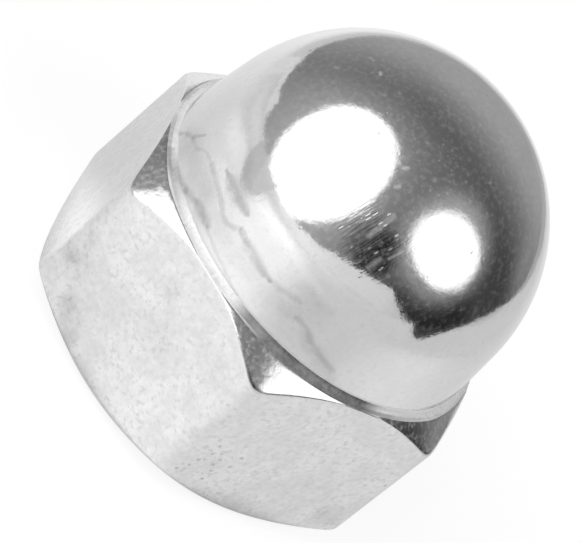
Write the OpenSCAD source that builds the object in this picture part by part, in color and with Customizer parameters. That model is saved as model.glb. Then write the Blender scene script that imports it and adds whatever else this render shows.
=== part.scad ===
// Domed cap nut: a hexagon nut closed at the top by a rounded cap.
// It is one forged and tapped piece of steel. All sizes are in millimetres.
//
// The origin is the centre of the bearing face, Z is the thread axis and the
// dome points up. Two corners of the hexagon lie on the X axis.

/* [Hexagon] */
// Width across the flats
across_flats = 16.8; // [16:0.1:19]
// Height of the hexagon, from the bearing face to the shoulder under the dome
hex_h = 8.2; // [6:0.1:9]
// Rounding of the six upright edges
corner_r = 1; // [0.4:0.1:2]
// Outer diameter of the flat bearing face
bearing_d = 15.8; // [14:0.1:15.9]
// Slope of the chamfer round the bearing face, measured from that face, in degrees
bearing_chamfer = 35; // [15:1:40]
// Slope of the chamfer under the dome, measured from the shoulder, in degrees
top_chamfer = 45; // [20:1:55]

/* [Dome] */
// Height of the whole nut, from the bearing face to the top of the dome
overall_h = 18; // [17:0.1:20]
// Diameter of the dome's wall where it meets the shoulder
dome_d = 16.2; // [15:0.1:16.4]
// Slope of the dome's wall towards the axis, in degrees
dome_taper = 6; // [2:0.1:8]
// Radius of the hollow that leads the shoulder into the dome's wall
neck_r = 0.3; // [0.2:0.05:0.8]
// Width of the flat shoulder outside that hollow
shoulder_w = 0.05; // [0.05:0.05:0.6]

/* [Threaded hole] */
// Nominal diameter of the thread
thread_d = 10; // [8:0.5:10.5]
// Pitch of the thread
thread_pitch = 1.5; // [1:0.25:1.5]
// Depth of the hole at its full diameter
hole_depth = 13; // [10:0.5:13.5]
// Full angle of the cone that the drill leaves, in degrees
drill_angle = 118; // [118:1:140]
// Widest diameter of the lead-in cone at the mouth
lead_in_d = 10.8; // [10.6:0.1:12]
// Full angle of the lead-in cone, in degrees
lead_in_angle = 120; // [90:5:120]

/* [Hidden] */
$fn = 96;

FLATS = 6;
// Shapes that are joined run into each other by this much
overlap = 0.5;
// A round that runs tangent into a face is this much larger, so that the two
// meet in one clean line
blend_over = 0.0001;

// Hexagon: the sharp corner, and the centre of its rounding
flat_r = across_flats / 2;
sharp_corner_r = flat_r / cos(180 / FLATS);
corner_centre_r = (flat_r - corner_r) / cos(180 / FLATS);
bearing_r = bearing_d / 2;

// Dome: the wall is a cone that runs tangent into a ball
dome_r = dome_d / 2;
dome_h = overall_h - hex_h;
ball_r = (dome_r * cos(dome_taper) - dome_h * sin(dome_taper)) / (1 - sin(dome_taper));
ball_z = overall_h - ball_r;
wall_top_r = ball_r * cos(dome_taper);
wall_top_z = ball_z + ball_r * sin(dome_taper);

// Neck: a round hollow, tangent to the shoulder below and to the wall inside
neck_z = hex_h + neck_r;
neck_centre_r = dome_r - neck_r * tan(dome_taper) + neck_r / cos(dome_taper);
neck_end_r = neck_centre_r - neck_r * cos(dome_taper);
neck_end_z = neck_z - neck_r * sin(dome_taper);
shoulder_r = neck_centre_r + shoulder_w;

// Hole: the wall is the thread's minor diameter, 5/8 of the sharp thread inside
minor_d = thread_d - 2 * 5 / 8 * thread_pitch * cos(30);
minor_r = minor_d / 2;
drill_point_h = minor_r / tan(drill_angle / 2);
lead_in_r = lead_in_d / 2;
lead_in_h = (lead_in_r - minor_r) / tan(lead_in_angle / 2);

// Outline of the hexagon, its corners rounded tangent to the flats
module hexagon_outline() {
    tangent = corner_r * tan(180 / FLATS);
    polygon([
        for (i = [0 : FLATS - 1], side = [-1, 1])
            let (a = i * 360 / FLATS, b = a + side * 180 / FLATS,
                 along = side * (flat_r * tan(180 / FLATS) - tangent))
            [flat_r * cos(b) + along * sin(b), flat_r * sin(b) - along * cos(b)]
    ]);
    for (i = [0 : FLATS - 1])
        rotate(i * 360 / FLATS)
            translate([corner_centre_r, 0])
                circle(r = corner_r + blend_over);
}

// Half section of the turned shape that trims the hexagon at both ends
module trim_section() {
    reach = sharp_corner_r + overlap;
    polygon([
        [0, 0],
        [bearing_r, 0],
        [reach, (reach - bearing_r) * tan(bearing_chamfer)],
        [reach, hex_h - (reach - shoulder_r) * tan(top_chamfer)],
        [shoulder_r, hex_h],
        [0, hex_h]
    ]);
}

// Hexagon with a cone turned on each end, which leaves an arc on every flat
module hexagon() {
    intersection() {
        linear_extrude(hex_h)
            hexagon_outline();
        rotate_extrude()
            trim_section();
    }
}

// Half section of the dome: neck, sloping wall and ball
module dome_section() {
    difference() {
        polygon([
            [0, hex_h - overlap],
            [neck_centre_r, hex_h - overlap],
            [neck_centre_r, hex_h],
            [neck_end_r, neck_end_z],
            [wall_top_r, wall_top_z],
            [0, wall_top_z]
        ]);
        translate([neck_centre_r, neck_z])
            circle(r = neck_r + blend_over);
    }
    intersection() {
        translate([0, ball_z])
            circle(r = ball_r + blend_over);
        translate([0, wall_top_z - overlap])
            square([ball_r + overlap, ball_r + overlap]);
    }
}

module dome() {
    rotate_extrude()
        dome_section();
}

// Blind tapping hole: drill point, wall at the minor diameter and lead-in
module threaded_hole() {
    translate([0, 0, hole_depth])
        cylinder(h = drill_point_h, r1 = minor_r, r2 = 0);
    cylinder(h = hole_depth, r = minor_r);
    cylinder(h = lead_in_h, r1 = lead_in_r, r2 = minor_r);
}

module cap_nut() {
    color("gainsboro")
        difference() {
            union() {
                hexagon();
                dome();
            }
            threaded_hole();
        }
}

cap_nut();
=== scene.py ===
"""Domed cap nut: plated steel, polished on the dome and satin on the flats.

The nut is one piece. It is turned from one section, so a geometry node tree draws it from
formulas: bands of the section run from the drill point down the tapped hole, across the
bearing face, up the hexagon and over the dome. Lengths are in metres and angles in radians
where nothing else is said. Azimuth 0 points along -Y and turns towards +X.
"""

from functools import partial
from math import asin, cos, degrees, pi, radians, sin, tan

import bpy
from mathutils import Matrix, Vector


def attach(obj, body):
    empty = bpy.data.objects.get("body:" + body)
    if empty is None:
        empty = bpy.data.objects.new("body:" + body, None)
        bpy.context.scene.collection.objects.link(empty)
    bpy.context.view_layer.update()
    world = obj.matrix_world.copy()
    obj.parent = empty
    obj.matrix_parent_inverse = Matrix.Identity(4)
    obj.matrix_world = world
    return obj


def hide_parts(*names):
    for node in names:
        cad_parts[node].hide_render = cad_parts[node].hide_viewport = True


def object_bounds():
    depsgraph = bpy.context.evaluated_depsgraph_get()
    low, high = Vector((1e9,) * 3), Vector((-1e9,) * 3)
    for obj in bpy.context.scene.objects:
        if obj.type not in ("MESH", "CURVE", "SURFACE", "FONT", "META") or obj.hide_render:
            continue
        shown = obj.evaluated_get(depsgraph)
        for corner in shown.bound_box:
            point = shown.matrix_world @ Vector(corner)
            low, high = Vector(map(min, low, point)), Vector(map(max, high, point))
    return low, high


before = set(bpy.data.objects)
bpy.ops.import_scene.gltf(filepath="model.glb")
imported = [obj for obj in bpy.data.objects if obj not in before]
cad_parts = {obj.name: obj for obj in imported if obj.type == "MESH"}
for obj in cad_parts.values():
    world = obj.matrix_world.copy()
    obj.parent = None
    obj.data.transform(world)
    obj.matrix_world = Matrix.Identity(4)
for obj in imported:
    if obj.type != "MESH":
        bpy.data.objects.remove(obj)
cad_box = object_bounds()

bl_info = {
    "name": "Domed cap nut",
    "version": (1, 0, 0),
    "blender": (4, 5, 0),
    "location": "View3D > Sidebar > Cap Nut",
    "description": "Builds a plated, domed cap nut with its tapped hole and a small studio",
    "category": "Object",
}

CAD_NODE = "cap_nut"
PIECE = "plated_nut"

MM = 0.001
ORIGIN = (0.0, 0.0, 0.0)
WHITE = (1.0, 1.0, 1.0, 1.0)
FLATS = 6
SEXTANT = 2 * pi / FLATS

# Zones of the surface. Each has its own finish.
ZONE_POLISHED, ZONE_SATIN, ZONE_TURNED, ZONE_TAPPED, ZONE_CHAMFER, ZONE_NECK = range(6)

# Columns round the nut, outside and in the hole, and rows in one turn of the thread
COLUMNS, BORE_COLUMNS, THREAD_STEPS = 360, 120, 16
# Width of the ring that joins the hole's columns to those outside
JOIN_WIDTH = 0.4 * MM
# Points that are closer than this are merged
MERGE_DISTANCE = 0.0005 * MM
# Edges that turn by more than this are shaded crisp
CRISP_ANGLE = radians(32)

# Marks on the plating: centre and radius in millimetres, and for some how strong they are
SCUFFED = ((2.6, -6.3, 13.9), 2.2)
PIT_PATCHES = (
    ((5.6, -7.0, 2.5), 1.5, 1.0),
    ((5.2, -7.8, 1.7), 0.5, 0.8),
)
BLOTCHES = (
    ((-2.6, -8.4, 1.7), 1.1, 0.32),
    ((-1.9, -8.4, 1.0), 0.9, 0.30),
    ((9.1, -1.0, 2.0), 1.1, 0.30),
    ((-0.5, -8.4, 6.3), 0.9, 0.20),
    ((0.6, -8.4, 4.6), 1.6, 0.12),
    ((-4.3, -8.4, 2.9), 0.7, 0.22),
    ((-4.2, -8.4, 4.3), 0.7, 0.20),
    ((-3.8, -8.1, 3.2), 1.6, 0.20),
)
# Hazy patch at the side of the dome
HAZY = ((-2.3, -7.3, 11.8), 1.5)
# Worn part of the dome, where small bright specks gather
WORN = ((1.4, -5.6, 15.0), 5.8)
# The scratches run along Z, leant by this towards Y. The fine lines between them have this
# share of their height and haze.
SCRATCH_LEAN = 0.57
LINE_HEIGHT, LINE_HAZE = 0.35, 0.25
# How much rougher the plating is in a stained pit
PIT_ROUGHNESS = 0.1
# Dull foot of the dome and bright top of the hollow: heights in millimetres where each starts
# and is complete, and how much more of the light the surface scatters
DULL_FOOT = (8.60, 8.50, 0.5)
BRIGHT_HOLLOW = (8.34, 8.43, -0.8)
# Painted shade in the hollow under the dome, in bands round the nut: first and last azimuth in
# degrees, how dark, and the heights in millimetres that it lies between
HOLLOW_SHADE = (
    (-76, -64, 0.28, 8.19, 8.21),
    (-58, -34, 0.28, 8.05, 8.23),
    (-38, -24, 0.26, 8.19, 8.60),
    (13, 20, 0.78, 8.205, 8.60),
    (13, 20, 0.50, 8.05, 8.192),
    (20, 64, 0.78, 8.05, 8.60),
    (62, 74, 0.45, 8.19, 8.23),
    (74, 86, 0.25, 8.19, 8.21),
    (68, 115, 0.14, 8.05, 8.19),
)
# Painted shade on the edge of the chamfer beside it
RIM_SHADE = ((30, 64, 0.30, 8.16, 8.30),)
# Painted streaks near the foot of the dome, a painted reflection of the shade on the floor round
# the nut. Each has points with azimuth in degrees and height in millimetres, its width in
# millimetres, how much it narrows at its ends and how dark it is.
SHADE_STREAKS = (
    (((-50, 8.4), (-47, 8.9), (-43, 9.2), (-42, 9.6), (-40, 10.0)), 0.18, 0.1, 0.24),
    (((-43, 9.3), (-38, 9.4), (-35, 9.8), (-33, 10.0), (-28, 10.0)), 0.16, 0.1, 0.15),
    (((-47, 8.9), (-34, 9.3), (-20, 9.5)), 1.30, 0.4, 0.13),
    (((-43, 8.2), (-35, 8.3), (-26, 8.6)), 0.30, 0.1, 0.24),
    (((-26, 8.6), (-22, 8.8), (-18, 9.0), (-12, 8.9)), 0.34, 0.1, 0.24),
    (((-21, 8.9), (-12, 9.0)), 0.60, 0.5, 0.18),
    (((-12, 8.9), (0, 8.7), (9, 8.5)), 0.16, 0.1, 0.14),
    (((-23, 10.7), (-7, 10.8)), 0.60, 0.7, 0.36),
    (((-18, 11.1), (-13, 11.1), (-9, 11.3), (-8, 11.7)), 0.12, 0.1, 0.12),
    (((-24, 11.9), (-17, 11.4)), 0.50, 0.4, 0.10),
    (((-28, 10.1), (-16, 10.0), (-12, 9.8), (-9, 9.8), (-5, 10.2)), 0.24, 0.1, 0.20),
    (((-5, 10.2), (12, 10.0)), 0.44, 0.6, 0.32),
    (((12, 10.0), (22, 10.4)), 0.28, 0.1, 0.16),
    (((-12, 9.4), (5, 9.5), (22, 9.8)), 1.10, 0.4, 0.10),
    (((25, 9.8), (29, 9.8), (34, 9.4), (44, 9.0)), 0.26, 0.1, 0.20),
    (((30, 9.5), (46, 8.7)), 0.80, 0.5, 0.12),
)
# Radius on which the painted streaks are unrolled, how far their edges stray and over what length
STREAK_RADIUS, STREAK_STRAY, STREAK_GRAIN = 8 * MM, 0.32 * MM, 0.45 * MM
# Painted streaks that start below this height in millimetres run on into the hollow
HOLLOW_TOP = 8.7
# Scrapes on the dome that scatter the light: first and last point with azimuth in degrees and
# height in millimetres, width in millimetres and strength
SCRAPES = (
    ((21, 14.1), (22, 15.1), 0.24, 0.30),
    ((28, 13.3), (29, 13.8), 0.20, 0.24),
    ((31, 14.0), (33, 14.5), 0.10, 0.30),
    ((15, 14.1), (17, 14.6), 0.12, 0.18),
    ((0, 16.2), (8, 16.2), 0.10, 0.40),
    ((10, 16.2), (11, 16.3), 0.16, 0.45),
    ((14, 15.7), (15, 15.8), 0.16, 0.45),
    ((-46, 16.6), (-44, 16.6), 0.14, 0.45),
    ((-57, 16.3), (-55, 16.4), 0.14, 0.20),
    ((-49, 15.4), (-48, 15.5), 0.16, 0.18),
)
# How much the scrapes narrow at their ends
SCRAPE_TAPER = 0.2

box_low, box_high = cad_box
FRAME_HEIGHT = box_high.z - box_low.z
FRAME_FLATS = box_high.y - box_low.y


# ---------------------------------------------------------------- writing node trees


def arithmetic(operation, swapped=False):
    """A method that writes a math node for one of the signs + - * /."""
    def method(self, other):
        pair = (other, self) if swapped else (self, other)
        return self.graph.math(operation, *pair)
    return method


class Number:
    """A number that a node tree works out at each point, written with plain arithmetic."""

    def __init__(self, graph, socket):
        self.graph = graph
        self.socket = socket

    __add__ = arithmetic("ADD")
    __radd__ = arithmetic("ADD", swapped=True)
    __sub__ = arithmetic("SUBTRACT")
    __rsub__ = arithmetic("SUBTRACT", swapped=True)
    __mul__ = arithmetic("MULTIPLY")
    __rmul__ = arithmetic("MULTIPLY", swapped=True)
    __truediv__ = arithmetic("DIVIDE")
    __rtruediv__ = arithmetic("DIVIDE", swapped=True)


class Graph:
    """A node tree while it is being written."""

    def __init__(self, tree):
        self.tree = tree

    def feed(self, socket, value):
        """Feed a socket from an output, or set it to a plain value."""
        value = value.socket if isinstance(value, Number) else value
        if isinstance(value, bpy.types.NodeSocket):
            self.tree.links.new(value, socket)
        else:
            socket.default_value = value

    def node(self, kind, inputs=None, **settings):
        """Add a node with its settings, then feed its inputs by name or place."""
        node = self.tree.nodes.new(kind)
        for setting, value in settings.items():
            setattr(node, setting, value)
        for key, value in (inputs or {}).items():
            self.feed(node.inputs[key], value)
        return node

    def read(self, kind, inputs=None, output=0, **settings):
        """One output of a new node, the first if none is named."""
        return Number(self, self.node(kind, inputs, **settings).outputs[output])

    def insert(self, group, **inputs):
        """Place a node group. Returns its outputs by name."""
        kind = self.tree.bl_idname.replace("Tree", "Group")
        node = self.node(kind, inputs, node_tree=group)
        return {output.name: Number(self, output) for output in node.outputs}

    def math(self, operation, *values):
        return self.read("ShaderNodeMath", dict(enumerate(values)), operation=operation)

    def clamp(self, value):
        return self.read("ShaderNodeClamp", {"Value": value})

    def ramp(self, value, low, high, smooth=True):
        """0 where value is at low, 1 where it is at high, level beyond them."""
        return self.read(
            "ShaderNodeMapRange", {"Value": value, "From Min": low, "From Max": high},
            interpolation_type="SMOOTHSTEP" if smooth else "LINEAR")

    def mix(self, share, first, second):
        return first + share * (second - first)

    def xyz(self, vector):
        node = self.node("ShaderNodeSeparateXYZ", {"Vector": vector})
        return [Number(self, output) for output in node.outputs]

    def vector(self, x, y, z):
        return self.read("ShaderNodeCombineXYZ", {"X": x, "Y": y, "Z": z})

    def vectors(self, operation, *values):
        """A vector operation. A distance and a dot product give a number."""
        output = "Value" if operation in ("DISTANCE", "DOT_PRODUCT") else "Vector"
        return self.read(
            "ShaderNodeVectorMath", dict(enumerate(values)), output, operation=operation)

    def scaled(self, vector, amount):
        return self.read(
            "ShaderNodeVectorMath", {0: vector, "Scale": amount}, operation="SCALE")

    def azimuth(self, x, y):
        """Azimuth of a place round the nut."""
        return self.math("ARCTAN2", x, 0 - y)

    def noise(self, vector, scale, detail, roughness=0.5, output=0):
        return self.read("ShaderNodeTexNoise", {
            "Vector": vector, "Scale": scale, "Detail": detail, "Roughness": roughness}, output)

    def scattered(self, vector, scale, cover):
        """Scattered points, of which a share given as cover is kept.

        Gives the distance to the nearest, 1 if it is kept or else 0, and its random number.
        """
        node = self.node("ShaderNodeTexVoronoi", {"Vector": vector, "Scale": scale})
        lot, other_lot, _ = self.xyz(node.outputs["Color"])
        return Number(self, node.outputs["Distance"]), self.math("LESS_THAN", lot, cover), other_lot

    def glow(self, strength):
        """White light given off by the surface."""
        return self.read("ShaderNodeEmission", {"Color": WHITE, "Strength": strength})

    def clear_where(self, share, surface):
        """A surface that is clear where share is 1."""
        clear = self.read("ShaderNodeBsdfTransparent")
        return self.read("ShaderNodeMixShader", {0: share, 1: surface, 2: clear})

    def surface(self, shader, kind="Material"):
        self.node(f"ShaderNodeOutput{kind}", {"Surface": shader})


SOCKET_KINDS = {float: "NodeSocketFloat", int: "NodeSocketInt", tuple: "NodeSocketVector"}


class Group(Graph):
    """A node group while it is being written, with its inputs as names and defaults.

    A geometry group puts out geometry, a shader group puts out numbers.
    """

    def __init__(self, kind, name, inputs, outputs):
        super().__init__(bpy.data.node_groups.new(name, kind))
        add_socket = self.tree.interface.new_socket
        for label, default in inputs.items():
            socket = add_socket(label, in_out="INPUT", socket_type=SOCKET_KINDS[type(default)])
            socket.default_value = default
        output_kind = "Geometry" if kind == "GeometryNodeTree" else "Float"
        for label in outputs:
            add_socket(label, in_out="OUTPUT", socket_type=f"NodeSocket{output_kind}")
        source = self.node("NodeGroupInput")
        self.given = {label: Number(self, source.outputs[label]) for label in inputs}

    def give(self, **outputs):
        """Feed the group's outputs and return its tree."""
        self.node("NodeGroupOutput", outputs)
        return self.tree


def new_material(name):
    """An empty material and its graph."""
    material = bpy.data.materials.new(name)
    material.use_nodes = True
    material.node_tree.nodes.clear()
    return material, Graph(material.node_tree)


# ---------------------------------------------------------------- sizes and finishes


def number(name, description, default, low=0.0, high=0.1, **units):
    return bpy.props.FloatProperty(
        name=name, description=description, default=default, min=low, max=high, **units)


length = partial(number, precision=5, unit="LENGTH")
factor = partial(number, high=1.0, subtype="FACTOR")


def angle(name, description, default):
    return number(name, description, radians(default), low=-2 * pi, high=2 * pi,
                  subtype="ANGLE")


def grey(name, description, level):
    return bpy.props.FloatVectorProperty(
        name=name, description=description, default=(level,) * 3, min=0.0, max=1.0,
        subtype="COLOR")


class NutSizes(bpy.types.PropertyGroup):
    """Sizes of the nut, the same as those of its solid."""

    across_flats: length("Across flats", "Width of the hexagon over two flats", FRAME_FLATS)
    hexagon_height: length("Hexagon height", "Bearing face to shoulder", 8.2 * MM)
    corner_radius: length("Corner radius", "Rounding of the six upright edges", 1.0 * MM)
    bearing_radius: length("Bearing radius", "Outer radius of the bearing face", 7.9 * MM)
    bearing_chamfer: angle("Bearing chamfer", "Slope of the chamfer at the bearing face", 35)
    top_chamfer: angle("Top chamfer", "Slope of the chamfer under the dome", 45)
    overall_height: length("Overall height", "Bearing face to top of dome", FRAME_HEIGHT)
    dome_radius: length("Dome radius", "Radius of the dome's wall at the shoulder", 8.1 * MM)
    dome_taper: angle("Dome taper", "Slope of the dome's wall towards the axis", 6)
    neck_radius: length("Neck radius", "Hollow between shoulder and dome", 0.3 * MM)
    shoulder_width: length("Shoulder width", "Flat ring outside the hollow", 0.05 * MM)
    thread_radius: length("Thread radius", "Half the nominal diameter", 5.0 * MM)
    thread_pitch: length("Thread pitch", "Rise of the thread in one turn", 1.5 * MM)
    thread_runout: length("Thread run-out", "Height over which the last turn fades", 1.6 * MM)
    hole_depth: length("Hole depth", "Depth at the full diameter", 13.0 * MM)
    drill_angle: angle("Drill angle", "Full angle of the drill point", 118)
    lead_in_radius: length("Lead-in radius", "Widest radius of the lead-in cone", 5.4 * MM)
    lead_in_angle: angle("Lead-in angle", "Full angle of the lead-in cone", 120)
    edge_rounds: bpy.props.IntProperty(
        name="Edge rounding", description="Smoothing steps that break the edges",
        default=14, min=0, max=60,
    )


class NutFinish(bpy.types.PropertyGroup):
    """Colours and surface of the plating."""

    plate_colour: grey("Plate colour", "Colour of the plating seen straight on", 0.80)
    hollow_colour: grey("Hollow colour", "Colour of the dull hollow under the dome", 0.97)
    dome_roughness: factor("Dome roughness", "Roughness of the polished dome", 0.09)
    chamfer_roughness: factor("Chamfer roughness", "Roughness of the top chamfer", 0.09)
    flat_roughness: factor("Flat roughness", "Roughness of the satin flats", 0.24)
    neck_roughness: factor("Neck roughness", "Roughness of the dull hollow", 0.45)
    neck_metallic: factor("Neck metallic", "How metallic the dull hollow is", 0.15)
    bore_roughness: factor("Bore roughness", "Roughness of the tapped hole", 0.30)
    grain_size: length("Grain size", "Size of the pebbled grain in the plating", 0.20 * MM)
    pit_spacing: length("Pit spacing", "Spacing of the pits in a cluster", 0.34 * MM)
    dimple_spacing: length("Dimple spacing", "Spacing of the dimples on the dome", 0.24 * MM)
    scratch_length: length("Scratch length", "Length of the polishing scratches", 0.5 * MM)
    scratch_width: length("Scratch width", "Width of the polishing scratches", 0.07 * MM)


class StageSettings(bpy.types.PropertyGroup):
    """Camera and the size of the surroundings that the plating mirrors."""

    view_azimuth: angle("View azimuth", "Direction of the camera round the nut", 14.57)
    view_elevation: angle("View elevation", "Height of the camera above the floor", 31.64)
    view_roll: angle("View roll", "Turn of the camera about its own axis", 50.27)
    view_distance: length("View distance", "Camera to the point looked at", 0.16204, high=10)
    view_height: length("View height", "Height of the point looked at", 8.73 * MM)
    frame_right: length("Frame right", "Nut placed right of the middle", 1.756 * MM)
    frame_up: length("Frame up", "Nut placed above the middle", 1.309 * MM)
    lens: number("Lens", "Focal length of the camera in millimetres", 244.9, 1.0, 1000.0,
                 unit="CAMERA")
    tent_radius: length("Tent radius", "Distance of the tent from the nut", 0.8, high=10)


# ---------------------------------------------------------------- the nut's surface


def section_band_group():
    """One band of the section, swept right round the axis from a flat grid."""
    graph = Group("GeometryNodeTree", "Section band", {
        "Columns": COLUMNS, "Rows": 8, "Angle": 0.0, "Radius": 0.0, "Height": 0.0, "Zone": 0,
    }, ["Mesh"])
    given = graph.given
    grid = graph.read("GeometryNodeMeshGrid", {
        "Size X": 1.0, "Size Y": 1.0,
        "Vertices X": given["Columns"] + 1, "Vertices Y": given["Rows"] + 1,
    }, "Mesh")
    place = graph.vector(
        given["Radius"] * graph.math("COSINE", given["Angle"]),
        given["Radius"] * graph.math("SINE", given["Angle"]),
        given["Height"],
    )
    swept = graph.read("GeometryNodeSetPosition", {"Geometry": grid, "Position": place})
    zoned = graph.read("GeometryNodeStoreNamedAttribute", {
        "Geometry": swept, "Name": "zone", "Value": given["Zone"],
    }, data_type="INT", domain="FACE")
    return graph.give(Mesh=zoned)


def nut_tree(sizes, materials):
    """The whole nut as one closed surface. Its inputs are the sizes, by name."""
    graph = Group("GeometryNodeTree", "Cap nut", sizes, ["Mesh"])
    size = graph.given
    sine, cosine, tangent, root, lower, higher = (
        partial(graph.math, operation)
        for operation in ("SINE", "COSINE", "TANGENT", "SQRT", "MINIMUM", "MAXIMUM"))
    band_tree = section_band_group()
    bands = []

    # Place on the flat grid: once round the axis, and along the band's own length
    position = graph.read("GeometryNodeInputPosition")
    grid_x, grid_y, _ = graph.xyz(position)
    turn = grid_x + 0.5
    along = grid_y + 0.5

    def crowd(value, strength):
        """Move even steps of a 0 to 1 range towards both of its ends."""
        return value - strength * sine(value * 2 * pi) / (2 * pi)

    # Hexagon: wall distance round the axis, its corners rounded tangent to the flats
    flat_r = size["Across flats"] / 2
    corner_r = size["Corner radius"]
    corner_centre_r = (flat_r - corner_r) / cos(SEXTANT / 2)
    side = graph.math("FLOOR", turn * FLATS)
    share = crowd(turn * FLATS - side, strength=0.7)
    fine_angle = (side + share) * SEXTANT
    off_corner = lower(share, 1 - share) * SEXTANT
    flat_wall = flat_r / cosine(SEXTANT / 2 - off_corner)
    sideways = corner_centre_r * sine(off_corner)
    corner_wall = corner_centre_r * cosine(off_corner) + root(
        corner_r * corner_r - sideways * sideways)
    straight = (flat_r - corner_r) * tan(SEXTANT / 2) / flat_r
    tangent_angle = SEXTANT / 2 - graph.math("ARCTANGENT", straight)
    at_corner = graph.math("LESS_THAN", off_corner, tangent_angle)
    wall_r = graph.mix(at_corner, flat_wall, corner_wall)

    # Neck and dome: a hollow, a sloping wall and a ball, each tangent to the next
    hex_h = size["Hexagon height"]
    taper = size["Dome taper"]
    neck_r = size["Neck radius"]
    neck_z = hex_h + neck_r
    neck_centre_r = size["Dome radius"] - neck_r * tangent(taper) + neck_r / cosine(taper)
    dome_h = size["Overall height"] - hex_h
    ball_r = (size["Dome radius"] * cosine(taper) - dome_h * sine(taper)) / (1 - sine(taper))
    ball_z = size["Overall height"] - ball_r
    shoulder_r = neck_centre_r + size["Shoulder width"]
    bearing_r = size["Bearing radius"]

    # Hole: the crest of the thread is the wall, cut 5/8 of the sharp thread deep
    pitch = size["Thread pitch"]
    thread_depth = pitch * (5 / 8 * cos(radians(30)))
    minor_r = size["Thread radius"] - thread_depth
    hole_z = size["Hole depth"]
    point_h = minor_r / tangent(size["Drill angle"] / 2)
    lead_slope = tangent(size["Lead-in angle"] / 2)
    lead_in_h = (size["Lead-in radius"] - minor_r) / lead_slope
    coarse_angle = turn * 2 * pi

    def thread_wall(z):
        """Radius of the tapped wall: flat crest, 60 degree flanks and flat root."""
        phase = graph.math("FRACT", z / pitch - turn + 1)
        flank = 5 / 16
        rise = (phase - 1 / 4) / flank
        fall = (1 - phase) / flank
        shape = graph.clamp(lower(rise, fall))
        fade = graph.clamp((hole_z - z) / size["Thread run-out"])
        return minor_r + thread_depth * shape * fade

    def band(zone, rows, radius, height, at=fine_angle, columns=COLUMNS):
        given = graph.insert(band_tree, Columns=columns, Rows=rows, Angle=at, Radius=radius,
                             Height=height, Zone=zone)
        bands.append(given["Mesh"])

    bore_band = partial(band, ZONE_TAPPED, at=coarse_angle, columns=BORE_COLUMNS)

    # Drill point
    bore_band(10, minor_r * along, hole_z + point_h * (1 - along))
    # Thread: the rows follow the helix, so crest and root run along them
    step_h = pitch / THREAD_STEPS
    start_z = graph.math("CEIL", hole_z / step_h) * step_h
    thread_rows = graph.math("CEIL", (start_z + pitch - lead_in_h) / step_h)
    raw_z = start_z + turn * pitch - along * thread_rows * step_h
    thread_z = lower(higher(raw_z, lead_in_h), hole_z)
    bore_band(thread_rows, thread_wall(thread_z), thread_z)
    # Lead-in cone, cut through the first turn
    lead_z = lead_in_h * (1 - along)
    lead_cone = size["Lead-in radius"] - lead_z * lead_slope
    bore_band(16, higher(lead_cone, thread_wall(lead_z)), lead_z)
    # Bearing face: one row joins the coarse columns of the hole to the fine ones outside
    snapped = graph.math("ROUND", fine_angle / (2 * pi) * BORE_COLUMNS) * (
        2 * pi / BORE_COLUMNS)
    join_r = size["Lead-in radius"] + JOIN_WIDTH
    band(ZONE_TURNED, 1, size["Lead-in radius"] + JOIN_WIDTH * along, along * 0,
         at=graph.mix(along, snapped, fine_angle))
    band(ZONE_TURNED, 6, graph.mix(along, join_r, bearing_r), along * 0)
    # Chamfer at the bearing face
    lower_r = graph.mix(crowd(along, strength=0.5), bearing_r, wall_r)
    lower_slope = tangent(size["Bearing chamfer"])
    band(ZONE_TURNED, 10, lower_r, (lower_r - bearing_r) * lower_slope)
    # Six flats, between the two cones that trim them
    upper_slope = tangent(size["Top chamfer"])
    foot_z = (wall_r - bearing_r) * lower_slope
    head_z = hex_h - higher(wall_r - shoulder_r, 0.0) * upper_slope
    band(ZONE_SATIN, 48, wall_r, graph.mix(crowd(along, strength=0.8), foot_z, head_z))
    # Chamfer under the dome, and the shoulder
    rim_r = lower(wall_r, shoulder_r)
    upper_r = graph.mix(crowd(along, strength=0.6), wall_r, rim_r)
    band(ZONE_CHAMFER, 12, upper_r, hex_h - higher(upper_r - shoulder_r, 0.0) * upper_slope)
    band(ZONE_NECK, 2, graph.mix(along, rim_r, neck_centre_r), hex_h + along * 0)
    # Neck hollow, dome wall and ball
    lean = graph.mix(along, pi / 2, taper)
    band(ZONE_NECK, 10, neck_centre_r - neck_r * cosine(lean), neck_z - neck_r * sine(lean))
    foot = (neck_centre_r - neck_r * cosine(taper), neck_z - neck_r * sine(taper))
    top = (ball_r * cosine(taper), ball_z + ball_r * sine(taper))
    band(ZONE_POLISHED, 20, graph.mix(along, foot[0], top[0]), graph.mix(along, foot[1], top[1]))
    rise = graph.mix(along, taper, pi / 2)
    band(ZONE_POLISHED, 52, ball_r * cosine(rise), ball_z + ball_r * sine(rise))

    joined = graph.node("GeometryNodeJoinGeometry")
    for band_mesh in bands:
        graph.feed(joined.inputs[0], band_mesh)
    closed = graph.read("GeometryNodeMergeByDistance", {
        "Geometry": joined.outputs[0], "Distance": MERGE_DISTANCE})

    # Broken edges: the hexagon's places are averaged with their neighbours
    from_edge, leeway = 0.5 * MM, 0.001 * MM
    x, y, z = graph.xyz(position)
    outside = graph.math("GREATER_THAN", root(x * x + y * y), bearing_r - from_edge)
    under_dome = graph.math("LESS_THAN", z, hex_h + leeway)
    softened = graph.read("GeometryNodeBlurAttribute", {
        "Value": position, "Iterations": size["Edge rounding"], "Weight": outside * under_dome,
    }, data_type="FLOAT_VECTOR")
    rounded = graph.read("GeometryNodeSetPosition", {
        "Geometry": closed, "Position": softened})

    # Edges of the thread stay crisp, all else is shaded smooth
    fold = graph.read("GeometryNodeInputMeshEdgeAngle", output="Unsigned Angle")
    smooth = graph.read("GeometryNodeSetShadeSmooth", {
        "Geometry": rounded, "Shade Smooth": True}, domain="FACE")
    edged = graph.read("GeometryNodeSetShadeSmooth", {
        "Geometry": smooth, "Shade Smooth": False,
        "Selection": graph.math("GREATER_THAN", fold, CRISP_ANGLE)}, domain="EDGE")

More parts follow.
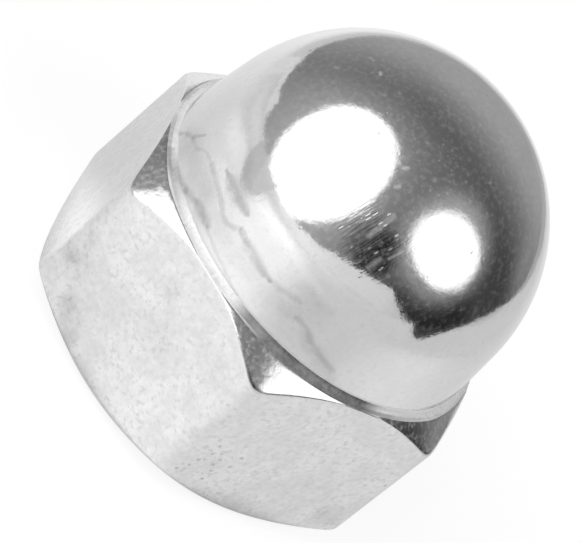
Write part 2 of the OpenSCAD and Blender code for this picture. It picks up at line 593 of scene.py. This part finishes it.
    finished = graph.read("GeometryNodeRealizeInstances", {"Geometry": edged})
    zone = graph.read(
        "GeometryNodeInputNamedAttribute", {"Name": "zone"}, "Attribute", data_type="INT")
    for index, material in materials.items():
        chosen = graph.read(
            "FunctionNodeCompare", {2: zone, 3: index}, data_type="INT", operation="EQUAL")
        finished = graph.read("GeometryNodeSetMaterial", {
            "Geometry": finished, "Selection": chosen, "Material": material})
    return graph.give(Mesh=finished)


# ---------------------------------------------------------------- surface effects


def grain_group():
    """Fine pebbled grain of the plating: a tone about 0.5, dark specks and a height."""
    graph = Group("ShaderNodeTree", "Pebbled grain", {
        "Vector": ORIGIN, "Size": 0.2 * MM}, ["Tone", "Cloud", "Specks", "Height"])
    scale = 1 / graph.given["Size"]
    # Grain, clouds and specks: how fine beside the grain, and how detailed
    fine, broad, sparse = (
        graph.noise(graph.given["Vector"], scale * step, detail, roughness=0.55)
        for step, detail in ((1.0, 2.0), (0.16, 3.0), (0.9, 1.5)))
    height = graph.ramp(fine, 0.25, 0.75, smooth=False)
    cloud = graph.ramp(broad, 0.34, 0.66)
    speck = graph.ramp(sparse, 0.5, 0.30)
    cloud_share, specks_in_clear = 0.4, 0.25
    return graph.give(
        Tone=graph.mix(cloud_share, height, cloud),
        Cloud=cloud,
        Specks=speck * graph.mix(cloud, specks_in_clear, 1.0),
        Height=height,
    )


def wave_group():
    """Slow unevenness left by forging and polishing, as a height from 0 to 1."""
    graph = Group("ShaderNodeTree", "Slow waves", {"Vector": ORIGIN, "Size": 2 * MM}, ["Height"])
    given = graph.given
    return graph.give(Height=graph.noise(
        given["Vector"], 1 / given["Size"], detail=2.0, roughness=0.45))


def pit_group():
    """Small round pits, as a mask that is 1 in a pit. Cover is the share of cells with one."""
    graph = Group("ShaderNodeTree", "Round pits", {
        "Vector": ORIGIN, "Spacing": 0.4 * MM, "Cover": 0.3}, ["Mask"])
    given = graph.given
    away, chosen, lot = graph.scattered(given["Vector"], 1 / given["Spacing"], given["Cover"])
    smallest, spread, flat_part = 0.26, 0.2, 0.2
    size = smallest + lot * spread
    return graph.give(Mask=graph.ramp(away, size, size * flat_part) * chosen)


def scratch_group():
    """Parallel polishing scratches: a mask that is 1 on a scratch, and the fine lines between."""
    graph = Group("ShaderNodeTree", "Polishing scratches", {
        "Vector": ORIGIN, "Length": 1.1 * MM, "Width": 0.1 * MM, "Cover": 0.2, "Lean": 0.0,
    }, ["Mask", "Lines"])
    given = graph.given
    x, y, z = graph.xyz(graph.read("ShaderNodeVectorRotate", {
        "Vector": given["Vector"], "Angle": given["Lean"]}, rotation_type="X_AXIS"))
    stretched = graph.vector(
        x / given["Width"] * 0.5, y / given["Width"] * 0.5, z / given["Length"])
    away, chosen, _ = graph.scattered(stretched, 1.0, given["Cover"])
    edge, core, finer = 0.32, 0.10, (1.6, 1.6, 0.5)
    lines = graph.noise(graph.vectors("MULTIPLY", stretched, finer), scale=1.0, detail=1.0)
    return graph.give(
        Mask=graph.ramp(away, edge, core) * chosen,
        Lines=graph.ramp(lines, 0.3, 0.7),
    )


def streak_group():
    """A straight streak between two points, as a mask that is 1 on it and fades at its sides."""
    graph = Group("ShaderNodeTree", "Streak", {
        "Vector": ORIGIN, "Start": ORIGIN, "End": ORIGIN, "Width": 0.3 * MM, "Taper": 0.0,
    }, ["Mask"])
    given = graph.given
    reach = graph.vectors("SUBTRACT", given["End"], given["Start"])
    offset = graph.vectors("SUBTRACT", given["Vector"], given["Start"])
    share = graph.clamp(graph.vectors("DOT_PRODUCT", offset, reach)
                        / graph.vectors("DOT_PRODUCT", reach, reach))
    away = graph.vectors("DISTANCE", offset, graph.scaled(reach, share))
    middle = share * 2 - 1
    half = given["Width"] * 0.5 * (1 - given["Taper"] * middle * middle)
    edge, core, least = 1.6, 0.1, 0.02 * MM
    return graph.give(Mask=graph.ramp(away, half * edge + least, half * core))


def unrolled_group():
    """A place on the wall as if it were unrolled, strayed a little, and a patchy mask."""
    graph = Group("ShaderNodeTree", "Unrolled wall", {
        "Vector": ORIGIN, "Radius": 8 * MM, "Stray": 0.3 * MM, "Grain": 0.5 * MM,
    }, ["Around", "Up", "Patchy"])
    given = graph.given
    x, y, z = graph.xyz(given["Vector"])
    red, green, _ = graph.xyz(graph.noise(
        given["Vector"], 1 / given["Grain"], detail=3.0, roughness=0.6, output="Color"))
    thinnest = 0.7
    return graph.give(
        Around=graph.azimuth(x, y) * given["Radius"] + (red - 0.5) * given["Stray"],
        Up=z + (green - 0.5) * given["Stray"],
        Patchy=graph.mix(graph.ramp(green, 0.35, 0.6), thinnest, 1.0),
    )


def painted_shade_group():
    """A patchy band of painted shade between two azimuths in degrees and two heights, as a mask."""
    graph = Group("ShaderNodeTree", "Painted shade band", {
        "Vector": ORIGIN, "Tone": 0.5, "First": 0.0, "Last": 10.0, "Low": 0.0, "High": 1.0 * MM,
    }, ["Mask"])
    given = graph.given
    x, y, z = graph.xyz(given["Vector"])
    bearing = graph.azimuth(x, y) * degrees(1)
    side_fade, low_fade, high_fade, stray = 5.0, 0.008 * MM, 0.02 * MM, 0.03 * MM
    sector = (graph.ramp(bearing, given["First"] - side_fade, given["First"] + side_fade)
              * graph.ramp(bearing, given["Last"] + side_fade, given["Last"] - side_fade))
    ragged = z + (given["Tone"] - 0.5) * stray
    level = (graph.ramp(z, given["Low"], given["Low"] + low_fade)
             * graph.ramp(ragged, given["High"] + high_fade, given["High"]))
    thin, patchy = 0.78, 0.36
    return graph.give(Mask=sector * level * (thin + given["Tone"] * patchy))


def patch_group():
    """A round patch, as a mask that is 1 within the inner radius and 0 outside the outer."""
    graph = Group("ShaderNodeTree", "Round patch", {
        "Vector": ORIGIN, "Centre": ORIGIN, "Outer": 1.0 * MM, "Inner": 0.0}, ["Mask"])
    given = graph.given
    away = graph.vectors("DISTANCE", given["Vector"], given["Centre"])
    return graph.give(Mask=graph.ramp(away, given["Outer"], given["Inner"]))


EFFECTS = {
    "grain": grain_group, "waves": wave_group, "pits": pit_group, "scratches": scratch_group,
    "streak": streak_group, "unrolled": unrolled_group, "painted_shade": painted_shade_group,
    "patch": patch_group,
}


class Finish:
    """The finish of one zone: effects laid over each other, then fed to the shader."""

    def __init__(self, effects, name, colour, roughness, metallic=1.0):
        self.material, self.graph = new_material(name)
        self.material.diffuse_color = (*colour, 1.0)
        self.place = self.graph.read("ShaderNodeTexCoord", output="Object")
        self.effects = effects
        self.colour = colour
        self.shade = 1.0
        self.rough = roughness
        self.metallic = metallic
        self.height = 0.0
        self.cloud = 0.0
        self.tone = 0.0

    def effect(self, name, **inputs):
        """Outputs of an effect's node group by name."""
        return self.graph.insert(self.effects[name], **{"Vector": self.place, **inputs})

    def near(self, centre, radius, softness=0.7):
        """1 in a round patch of the surface, 0 outside it. Centre and radius in millimetres."""
        return self.effect(
            "patch", Centre=[value * MM for value in centre], Outer=radius * MM,
            Inner=radius * (1 - softness) * MM)["Mask"]

    def darken(self, mask, depth, rough=0.0):
        """Darken the surface, for real stains and for painted shade, and change its roughness where
        the mask is above 0.
        """
        self.shade = self.shade * (1 - mask * depth)
        self.rough = self.rough + mask * rough

    def scatter(self, mask, haze):
        """Scatter light as paint does where the mask is above 0, less so if haze is below 0."""
        self.metallic = self.metallic - mask * haze

    def scatter_by_height(self, start, end, haze):
        """Scatter from a start height, fully from an end height. Both are in millimetres."""
        height = self.graph.xyz(self.place)[2]
        self.scatter(self.graph.ramp(height, start * MM, end * MM), haze)

    def grain(self, size, tone, specks, height, rough, haze=0.0):
        """Pebbled grain. Haze is how much of the light its high places scatter."""
        given = self.effect("grain", Size=size)
        self.cloud = given["Cloud"]
        self.tone = given["Tone"]
        off_middle = self.tone - 0.5
        if haze:
            self.scatter(self.graph.ramp(given["Height"], 0.40, 0.95), haze)
        self.shade = self.shade * (1 + off_middle * (2 * tone))
        self.rough = self.rough + off_middle * rough
        self.height = self.height + given["Height"] * height
        self.darken(given["Specks"], specks)

    def waves(self, size, height):
        """Slow unevenness."""
        self.height = self.height + self.effect("waves", Size=size)["Height"] * height

    def pits(self, spacing, cover, depth=0.0, darken=0.0, haze=0.0):
        """Round pits over a share of the surface, each deep, stained or hazy."""
        mask = self.effect("pits", Spacing=spacing, Cover=cover)["Mask"]
        if depth:
            self.height = self.height - mask * depth
        if darken:
            self.darken(mask, darken, rough=PIT_ROUGHNESS)
        if haze:
            self.scatter(mask, haze)

    def scratches(self, finish, cover, lines, depth, haze):
        """Scratches, and fine lines where the mask given as lines is above 0."""
        given = self.effect("scratches", Length=finish.scratch_length,
                            Width=finish.scratch_width, Cover=cover, Lean=SCRATCH_LEAN)
        fine = given["Lines"] * lines
        self.height = self.height - given["Mask"] * depth + fine * (depth * LINE_HEIGHT)
        self.scatter(given["Mask"], haze)
        self.scatter(fine, haze * LINE_HAZE)

    def painted_shade(self, marks):
        """Painted shade in patchy bands round the nut, between two azimuths and two heights."""
        for first, last, depth, low, high in marks:
            band = self.effect("painted_shade", Tone=self.tone, First=first, Last=last,
                               Low=low * MM, High=high * MM)
            self.darken(band["Mask"], depth)

    def streaks(self, marks):
        """Painted streaks, a painted reflection of shade, laid on the wall as if it were unrolled,
        with ragged edges.
        """
        wall = self.effect("unrolled", Radius=STREAK_RADIUS, Stray=STREAK_STRAY,
                           Grain=STREAK_GRAIN)
        point = self.graph.vector(wall["Around"], wall["Up"], 0)
        for corners, width, taper, depth in marks:
            flat = [(radians(azimuth) * STREAK_RADIUS, height * MM, 0.0)
                    for azimuth, height in corners]
            mask = 0.0
            for start, end in zip(flat, flat[1:]):
                line = self.effect("streak", Vector=point, Start=start, End=end,
                                   Width=width * MM, Taper=taper)
                mask = self.graph.math("MAXIMUM", mask, line["Mask"])
            self.darken(mask * wall["Patchy"], depth)

    def scrapes(self, sizes, marks):
        """Scrapes that scatter the light, each between two places on the dome."""
        for start, end, width, haze in marks:
            line = self.effect("streak", Start=on_dome(sizes, *start), End=on_dome(sizes, *end),
                               Width=width * MM, Taper=SCRAPE_TAPER)
            self.scatter(line["Mask"], haze)

    def done(self):
        """Feed the shader and return the material."""
        graph = self.graph
        raised = graph.read("ShaderNodeBump", {
            "Height": self.height, "Strength": 1.0, "Distance": 1.0})
        graph.surface(graph.read("ShaderNodeBsdfPrincipled", {
            "Base Color": graph.scaled(self.colour, self.shade), "Roughness": self.rough,
            "Metallic": self.metallic, "Normal": raised}))
        return self.material


def direction(azimuth, elevation):
    """Unit vector at an azimuth round the nut and an elevation above the floor."""
    level = cos(elevation)
    return Vector((sin(azimuth) * level, -cos(azimuth) * level, sin(elevation)))


def on_dome(sizes, azimuth, height):
    """Point of the dome's ball at an azimuth in degrees and a height in millimetres."""
    lean = sin(sizes.dome_taper)
    rise = sizes.overall_height - sizes.hexagon_height
    ball = (sizes.dome_radius * cos(sizes.dome_taper) - rise * lean) / (1 - lean)
    centre = Vector((0, 0, sizes.overall_height - ball))
    elevation = asin((height * MM - centre.z) / ball)
    return centre + ball * direction(radians(azimuth), elevation)


def nut_materials(sizes, finish):
    """The finishes of the nut, by zone."""
    effects = {name: build() for name, build in EFFECTS.items()}
    plate = tuple(finish.plate_colour)
    grain_size = finish.grain_size
    dimple = finish.dimple_spacing

    dome = Finish(effects, "Polished plating", plate, finish.dome_roughness)
    dome.grain(grain_size * 1.1, tone=0.05, specks=0.06, height=0.0014 * MM, rough=0.04,
               haze=0.08)
    dome.waves(2.2 * MM, height=0.020 * MM)
    worn = dome.near(*WORN)
    dome.pits(dimple, cover=0.02 + worn * 0.05, depth=0.0015 * MM, haze=0.12)
    dome.pits(dimple * 0.7, cover=worn * 0.35, haze=0.12)
    dome.pits(dimple * 1.4, cover=worn * 0.50, haze=0.15)
    scuffed = dome.near(*SCUFFED)
    dome.scratches(finish, cover=0.005 + scuffed * 0.34, lines=scuffed, depth=0.005 * MM,
                   haze=0.32)
    dome.pits(finish.pit_spacing, cover=dome.near(*HAZY, softness=0.9) * 0.7, haze=0.16)
    # Painted reflection of the shade on the floor, as dark streaks
    dome.streaks(SHADE_STREAKS)
    dome.scrapes(sizes, SCRAPES)
    dome.scatter_by_height(*DULL_FOOT)

    chamfer = Finish(effects, "Chamfer plating", plate, finish.chamfer_roughness)
    chamfer.grain(grain_size, tone=0.10, specks=0.15, height=0.0020 * MM, rough=0.08, haze=0.27)
    # Painted shade on the chamfer's rim, next to the hollow
    chamfer.painted_shade(RIM_SHADE)
    chamfer.waves(1.2 * MM, height=0.020 * MM)

    flats = Finish(effects, "Satin plating", plate, finish.flat_roughness)
    flats.grain(grain_size * 1.15, tone=0.12, specks=0.16, height=0.0024 * MM, rough=0.10)
    flats.waves(1.6 * MM, height=0.010 * MM)
    cover = 0.008
    for centre, radius, share in PIT_PATCHES:
        cover = cover + flats.near(centre, radius) * share
    flats.pits(finish.pit_spacing, cover, depth=0.008 * MM, darken=0.30)
    for centre, radius, depth in BLOTCHES:
        flats.darken(flats.near(centre, radius, softness=1.0) * flats.cloud, depth)

    neck = Finish(effects, "Dull hollow", tuple(finish.hollow_colour), finish.neck_roughness,
                  finish.neck_metallic)
    neck.grain(grain_size * 0.8, tone=0.10, specks=0.20, height=0.0060 * MM, rough=0.10)
    neck.scatter_by_height(*BRIGHT_HOLLOW)
    # Painted shade in the hollow under the dome
    neck.painted_shade(HOLLOW_SHADE)
    # The painted streaks that start low run on into the hollow
    neck.streaks([mark for mark in SHADE_STREAKS if mark[0][0][1] < HOLLOW_TOP])

    turned = Finish(effects, "Turned plating", plate, finish.flat_roughness)
    turned.grain(grain_size * 0.8, tone=0.06, specks=0.10, height=0.0050 * MM, rough=0.08)
    turned.waves(1.2 * MM, height=0.006 * MM)
    turned.pits(finish.pit_spacing, cover=0.03, depth=0.010 * MM, darken=0.3)

    tapped = Finish(effects, "Tapped plating", plate, finish.bore_roughness)
    tapped.grain(grain_size * 0.8, tone=0.10, specks=0.15, height=0.0050 * MM, rough=0.10)
    tapped.pits(finish.pit_spacing, cover=0.03, depth=0.010 * MM, darken=0.4)

    return {
        ZONE_POLISHED: dome.done(), ZONE_SATIN: flats.done(), ZONE_TURNED: turned.done(),
        ZONE_TAPPED: tapped.done(), ZONE_CHAMFER: chamfer.done(), ZONE_NECK: neck.done(),
    }


class OBJECT_OT_cap_nut(bpy.types.Operator):
    """Build the plated nut round its solid"""

    bl_idname = "object.cap_nut_build"
    bl_label = "Build cap nut"

    def execute(self, context):
        sizes = context.scene.cap_nut_sizes
        values = {
            sizes.bl_rna.properties[key].name: getattr(sizes, key)
            for key in NutSizes.__annotations__
        }
        tree = nut_tree(values, nut_materials(sizes, context.scene.cap_nut_finish))
        nut = bpy.data.objects.new(PIECE, bpy.data.meshes.new(PIECE))
        context.scene.collection.objects.link(nut)
        modifier = nut.modifiers.new("Cap nut", "NODES")
        modifier.node_group = tree
        for item in tree.interface.items_tree:
            if item.item_type == "SOCKET" and item.in_out == "INPUT":
                modifier[item.identifier] = values[item.name]
        context.view_layer.update()
        evaluated = nut.evaluated_get(context.evaluated_depsgraph_get())
        mesh = bpy.data.meshes.new_from_object(evaluated)
        nut.modifiers.clear()
        nut.data = mesh
        mesh.name = PIECE
        if not mesh.polygons:
            raise RuntimeError("the nut's node tree made no faces")
        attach(nut, "root")
        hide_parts(CAD_NODE)
        return {"FINISHED"}


# ---------------------------------------------------------------- the studio


# Brightness of the tent, and the least that its darker parts leave
TENT_LEVEL, TENT_LEAST = 0.058, 0.015
# Broad glows on the tent: name, azimuth, elevation, half width and softness in degrees, and
# strength. A strength below zero is a darker part.
GLOWS = (
    ("Lit wall", -164, 10, 64, 47, 0.33),
    ("Front glow", -38, -5, 110, 77, 0.29),
    ("Ceiling", 71, 82, 76, 88, 0.11),
    ("Dark flag", 34, 27, 22, 13, -0.165),
    ("Dark corner", 85, -4, 36, 12, -0.036),
    ("Right corner", 149, 8, 14, 14, 0.07),
)
# Softboxes: name, azimuth, elevation, long and short half angle and bearing of the long axis
# in degrees, radiance, share of the radius that fades out, and strength and width in degrees
# of the glow round them
SOFTBOXES = (
    ("Large softbox", -31, 33.5, 40, 35.5, 115, 1.45, 0.14, 0.07, 24),
    ("Small softbox", 86, 41.5, 27.5, 22, 148, 1.45, 0.30, 0.24, 14),
)
# Walls that stand on the horizon: name, azimuth and top of each point in degrees, and first
# and last brightness
WALLS = (
    ("Left wall", ((-120, 0), (-110, 2), (-90, 3), (-80, 5), (-75, 1), (-70, 0)), 0.80, 0.80),
    ("Front wall", ((-15, 0), (5, 4), (12, 5), (20, 9), (30, 11), (62, 13), (67, 8), (80, 0)),
     1.10, 0.60),
    ("Right wall", ((113, 0), (120, 2), (137, 2), (145, 0)), 0.56, 0.56),
)
# Elevation in degrees at which the tent and the walls end, below the floor
FOOT_ELEVATION = -3
# Reach of the floor, the walls and the softboxes beside the tent's radius
FLOOR_REACH, WALL_REACH, SOFTBOX_REACH = 1.5, 0.9, 0.7
# Radiance of the lamps in the softboxes, which light all that isn't mirrored
LAMP_RADIANCE = 1.2
# Brightness of the world where it lights dull surfaces. The view and the metal show it white.
WORLD_LIGHT = 0.35
# Height of the floor, just under the bearing face
FLOOR_HEIGHT = -0.02 * MM
# The floor's own grey, its glow in the view, its brightness in the metal, and how much of
# that the lamps give
FLOOR_GREY, FLOOR_GLOW, FLOOR_LEVEL, FLOOR_LIT = 0.3, 0.80, 0.72, 0.25
# Pools of light on the floor: centre, outer and inner radius in millimetres, and strength.
# A strength below zero is a darker part, such as the contact shadow.
FLOOR_POOLS = (
    ((-12, -61), 52, 0, 0.60),
    ((-36, 45), 74, 0, 0.28),
    ((-2, -22), 30, 0, 0.30),
    ((-38, -18), 22, 0, 0.26),
    ((0, -110), 60, 0, 0.35),
    ((-20, -330), 300, 0, 0.35),
    ((29, 4), 25, 0, 0.18),
    ((18, -33), 15, 0, -0.16),
    ((14, -4), 14, 0, 0.07),
    ((3, -11), 7, 0, 0.14),
    ((-9, -4), 5, 0, 0.35),
    ((-130, -45), 90, 30, 0.09),
    ((-50, -31), 16, 0, 0.20),
    ((0, 0), 10, 8.6, -0.30),
)


def crescent(centre, radius, first, last, width, steps=16):
    """Corners of a thin crescent on the floor, its outer edge an arc between two azimuths."""
    shares = [step / steps for step in range(steps + 1)]
    edges = []
    for inset, order in ((0, shares), (width, shares[-2:0:-1])):
        for share in order:
            azimuth = radians(first + (last - first) * share)
            reach = radius - inset * sin(pi * share)
            edges.append((centre[0] + reach * sin(azimuth),
                          centre[1] - reach * cos(azimuth)))
    return edges


# Sheets that lie on the floor: name, corners in millimetres and brightness. The two on the
# left share an edge.
LEFT_EDGE = ((-24, -32), (-27, -40), (-40, -50), (-60, -70), (-900, -800))
SHEETS = (
    ("Left sheet", ((-27, -29), (-38, -33), (-60, -43), (-145, -87), (-900, -550),
                    *reversed(LEFT_EDGE)), 0.60),
    ("Left pale sheet", (*LEFT_EDGE, (-900, -900), (-500, -900), (-30, -55), (-23, -38)), 0.69),
    ("Back sheet", ((-900, 400), (-300, 270), (-110, 165), (-70, 230), (-5, 100), (28, 125),
                    (105, 210), (500, 800), (500, 900), (-900, 900)), 0.45),
    ("Right sheet", ((85, 2), (120, 16), (440, 142), (900, 290), (900, -90), (120, -8)), 0.045),
    # Painted light: a bright crescent that stands in for the light the nut throws on the floor
    ("Bright strip", crescent((1.5, -8.5), 29.5, -83, 15, 1.7), 1.15),
    ("Left far sheet", ((-66, 16), (-900, 190), (-900, 395), (-75, 36)), 0.80),
    ("Far sheet", ((-50, -280), (-180, -900), (330, -900), (130, -420), (40, -280)), 0.98),
)


def add_object(name, data):
    item = bpy.data.objects.new(name, data)
    bpy.context.scene.collection.objects.link(item)
    return item


def stage_piece(name, vertices, faces, material, across=None):
    """A stage object. Across gives each vertex its place on the UV map, from 0 to 1."""
    mesh = bpy.data.meshes.new(name)
    mesh.from_pydata(vertices, [], faces)
    if across:
        uv_layer = mesh.uv_layers.new(name="across")
        for loop in mesh.loops:
            uv_layer.data[loop.index].uv = (across[loop.vertex_index], 0)
    mesh.materials.append(material)
    item = add_object(name, mesh)
    return item


def mirrored_piece(*parts):
    """A stage object that shows only where the metal mirrors it."""
    item = stage_piece(*parts)
    item.visible_camera = item.visible_diffuse = item.visible_shadow = False
    item.visible_transmission = item.visible_volume_scatter = False


def lit_material(name, first, last, fade=0.0):
    """A surface that glows, from one brightness to another along its UV map.

    The last part of it fades to clear, where fade is above 0.
    """
    material, graph = new_material(name)
    across = graph.xyz(graph.read("ShaderNodeTexCoord", output="UV"))[0]
    surface = graph.glow(graph.mix(across, first, last))
    if fade:
        surface = graph.clear_where(graph.ramp(across, 1 - fade, 1), surface)
    graph.surface(surface)
    return material


def tent_material():
    """The dim tent round the nut: a lit wall behind, broad glows and one round each softbox."""
    material, graph = new_material("Dim tent")
    toward = graph.vectors("NORMALIZE", graph.read("ShaderNodeTexCoord", output="Object"))

    def away_from(azimuth, elevation):
        """Angle from a direction, in degrees."""
        middle = direction(radians(azimuth), radians(elevation))
        along = graph.vectors("DOT_PRODUCT", toward, middle)
        return graph.math("ARCCOSINE", along) * degrees(1)

    level = TENT_LEVEL
    for _, azimuth, elevation, width, softness, strength in GLOWS:
        part = graph.ramp(away_from(azimuth, elevation), width, width - softness)
        level = part * strength + level
    level = graph.math("MAXIMUM", level, TENT_LEAST)
    for _, azimuth, elevation, wide, narrow, *_, strength, width in SOFTBOXES:
        spread = (wide + narrow) / 2
        near = graph.ramp(away_from(azimuth, elevation), spread + width, spread, smooth=False)
        level = level + near * near * strength
    graph.surface(graph.glow(level))
    return material


def tent(radius, columns=72, rows=24):
    """The tent: a part of a sphere round the nut, its faces turned inwards."""
    vertices = [
        radius * direction(
            2 * pi * (column / columns - 0.5),
            radians(FOOT_ELEVATION + (90 - FOOT_ELEVATION) * row / rows),
        )
        for row in range(rows + 1) for column in range(columns + 1)
    ]
    faces = [
        (start, start + columns + 1, start + columns + 2, start + 1)
        for row in range(rows) for column in range(columns)
        for start in [row * (columns + 1) + column]
    ]
    mirrored_piece("Tent", vertices, faces, tent_material())


def wall(name, tops, first, last, distance):
    """A wall that stands on the horizon."""
    vertices = [
        direction(radians(azimuth), 0) * distance
        + Vector((0, 0, distance * tan(radians(elevation))))
        for azimuth, top in tops for elevation in (FOOT_ELEVATION, top)
    ]
    faces = [(start, start + 2, start + 3, start + 1) for start in range(0, 2 * len(tops) - 2, 2)]
    across = [index // 2 / (len(tops) - 1) for index in range(len(vertices))]
    mirrored_piece(name, vertices, faces, lit_material(name, first, last), across)


def sheet(name, corners, height, level):
    """A grey sheet that lies on the floor."""
    vertices = [(x * MM, y * MM, height) for x, y in corners]
    mirrored_piece(name, vertices, [range(len(corners))], lit_material(name, level, level))


def softbox(name, azimuth, elevation, wide, narrow, bearing, radiance, fade, distance):
    """An oval softbox: a glowing sheet that the metal mirrors and a lamp that lights the rest."""
    out = direction(radians(azimuth), radians(elevation))
    side = direction(radians(azimuth + 90), 0)
    above = out.cross(side)
    turn = radians(bearing)
    along = side * cos(turn) + above * sin(turn)
    over = above * cos(turn) - side * sin(turn)
    reach = [distance * tan(radians(half)) for half in (wide, narrow)]
    steps = 64
    rim = [
        out * distance + along * (reach[0] * cos(step)) + over * (reach[1] * sin(step))
        for step in (2 * pi * index / steps for index in range(steps))
    ]
    faces = [(0, index + 1, (index + 1) % steps + 1) for index in range(steps)]
    mirrored_piece(name, [out * distance, *rim], faces,
                   lit_material(name, radiance, radiance, fade), [0.0] + [1.0] * steps)

    radius = sum(reach) / 2
    data = bpy.data.lights.new(name, "AREA")
    data.shape = "DISK"
    data.size = 2 * radius
    data.energy = LAMP_RADIANCE * pi * pi * radius * radius
    lamp = add_object(name + " lamp", data)
    lamp.location = out * distance
    lamp.rotation_mode = "QUATERNION"
    lamp.rotation_quaternion = out.to_track_quat("Z", "Y")
    lamp.visible_camera = lamp.visible_glossy = False


def floor_material():
    """Pale floor that shows white in the view and in the metal, and keeps a soft shadow."""
    material, graph = new_material("Pale floor")
    ray = graph.node("ShaderNodeLightPath").outputs
    straight = graph.clamp(Number(graph, ray["Is Camera Ray"]) + ray["Is Transmission Ray"])
    # Painted pools of light and shade, the contact shadow among them, stand in for the lamps'
    # uneven light on the floor; only the metal shows them
    place = graph.read("ShaderNodeTexCoord", output="Object")
    patch = bpy.data.node_groups.get("Round patch") or patch_group()
    level = FLOOR_LEVEL
    for (x, y), outer, inner, strength in FLOOR_POOLS:
        pool = graph.insert(patch, Vector=place, Centre=(x * MM, y * MM, 0), Outer=outer * MM,
                            Inner=inner * MM)
        level = pool["Mask"] * strength + level
    mirrored = Number(graph, ray["Is Glossy Ray"]) * (level - FLOOR_LIT)
    lit = graph.read("ShaderNodeAddShader", {
        0: graph.read("ShaderNodeBsdfDiffuse", {"Color": (*[FLOOR_GREY] * 3, 1.0)}),
        1: graph.glow(straight * FLOOR_GLOW + mirrored)})
    under = graph.read("ShaderNodeNewGeometry", output="Backfacing")
    graph.surface(graph.clear_where(under, lit))
    return material


def studio_world():
    """White surroundings, which light dull surfaces less brightly."""
    world = bpy.data.worlds.new("Studio")
    bpy.context.scene.world = world
    world.use_nodes = True
    world.node_tree.nodes.clear()
    graph = Graph(world.node_tree)
    ray = graph.node("ShaderNodeLightPath").outputs
    seen = graph.clamp(
        Number(graph, ray["Is Camera Ray"]) + ray["Is Glossy Ray"] + ray["Is Transmission Ray"])
    graph.surface(graph.read("ShaderNodeBackground", {
        "Color": WHITE, "Strength": graph.mix(seen, WORLD_LIGHT, 1.0)}), "World")


def studio_camera(settings):
    """The camera, turned about its own axis and placed so that the nut is in the frame."""
    back = direction(settings.view_azimuth, settings.view_elevation)
    level = Vector((cos(settings.view_azimuth), sin(settings.view_azimuth), 0))
    upright = back.cross(level)
    roll = settings.view_roll
    right = cos(roll) * level + sin(roll) * upright
    up = -sin(roll) * level + cos(roll) * upright
    data = bpy.data.cameras.new("Camera")
    data.lens = settings.lens
    data.sensor_width = 36
    data.clip_start, data.clip_end = 0.01, 10
    data.dof.use_dof = False
    camera = add_object("Camera", data)
    place = (Vector((0, 0, settings.view_height)) + back * settings.view_distance
             - right * settings.frame_right - up * settings.frame_up)
    turned = Matrix((right, up, back)).transposed().to_4x4()
    camera.matrix_world = Matrix.Translation(place) @ turned
    bpy.context.scene.camera = camera


class OBJECT_OT_cap_nut_stage(bpy.types.Operator):
    """Set up the floor, the surroundings, the lamps and the camera"""

    bl_idname = "object.cap_nut_stage"
    bl_label = "Build stage"

    def execute(self, context):
        settings = context.scene.cap_nut_stage
        radius = settings.tent_radius
        reach = radius * FLOOR_REACH
        corners = [(x, y, FLOOR_HEIGHT) for x, y in (
            (-reach, -reach), (reach, -reach), (reach, reach), (-reach, reach))]
        stage_piece("Floor", corners, [(0, 1, 2, 3)], floor_material())
        tent(radius)
        for name, tops, first, last in WALLS:
            wall(name, tops, first, last, radius * WALL_REACH)
        for layer, (name, corners, level) in enumerate(SHEETS, 1):
            sheet(name, corners, FLOOR_HEIGHT * (1 - layer / (len(SHEETS) + 1)), level)
        for *box, _, _ in SOFTBOXES:
            softbox(*box, radius * SOFTBOX_REACH)
        studio_world()
        studio_camera(settings)
        context.scene.view_settings.view_transform = "Standard"
        return {"FINISHED"}


class VIEW3D_PT_cap_nut(bpy.types.Panel):
    """Lists the nut's operators and their sizes"""

    bl_label = "Cap Nut"
    bl_idname = "VIEW3D_PT_cap_nut"
    bl_space_type = "VIEW_3D"
    bl_region_type = "UI"
    bl_category = "Cap Nut"

    def draw(self, context):
        layout = self.layout
        for operator in OPERATORS:
            layout.operator(operator.bl_idname)
        for name, group in SETTINGS.items():
            box = layout.box()
            for key in group.__annotations__:
                box.prop(getattr(context.scene, name), key)


SETTINGS = {
    "cap_nut_sizes": NutSizes, "cap_nut_finish": NutFinish, "cap_nut_stage": StageSettings,
}
OPERATORS = (OBJECT_OT_cap_nut, OBJECT_OT_cap_nut_stage)
CLASSES = (*SETTINGS.values(), *OPERATORS, VIEW3D_PT_cap_nut)


def register():
    for cls in CLASSES:
        bpy.utils.register_class(cls)
    for name, group in SETTINGS.items():
        setattr(bpy.types.Scene, name, bpy.props.PointerProperty(type=group))


def unregister():
    for name in SETTINGS:
        delattr(bpy.types.Scene, name)
    for cls in reversed(CLASSES):
        bpy.utils.unregister_class(cls)


def main():
    register()
    bpy.ops.object.cap_nut_build()
    bpy.ops.object.cap_nut_stage()


if __name__ == "__main__":
    main()
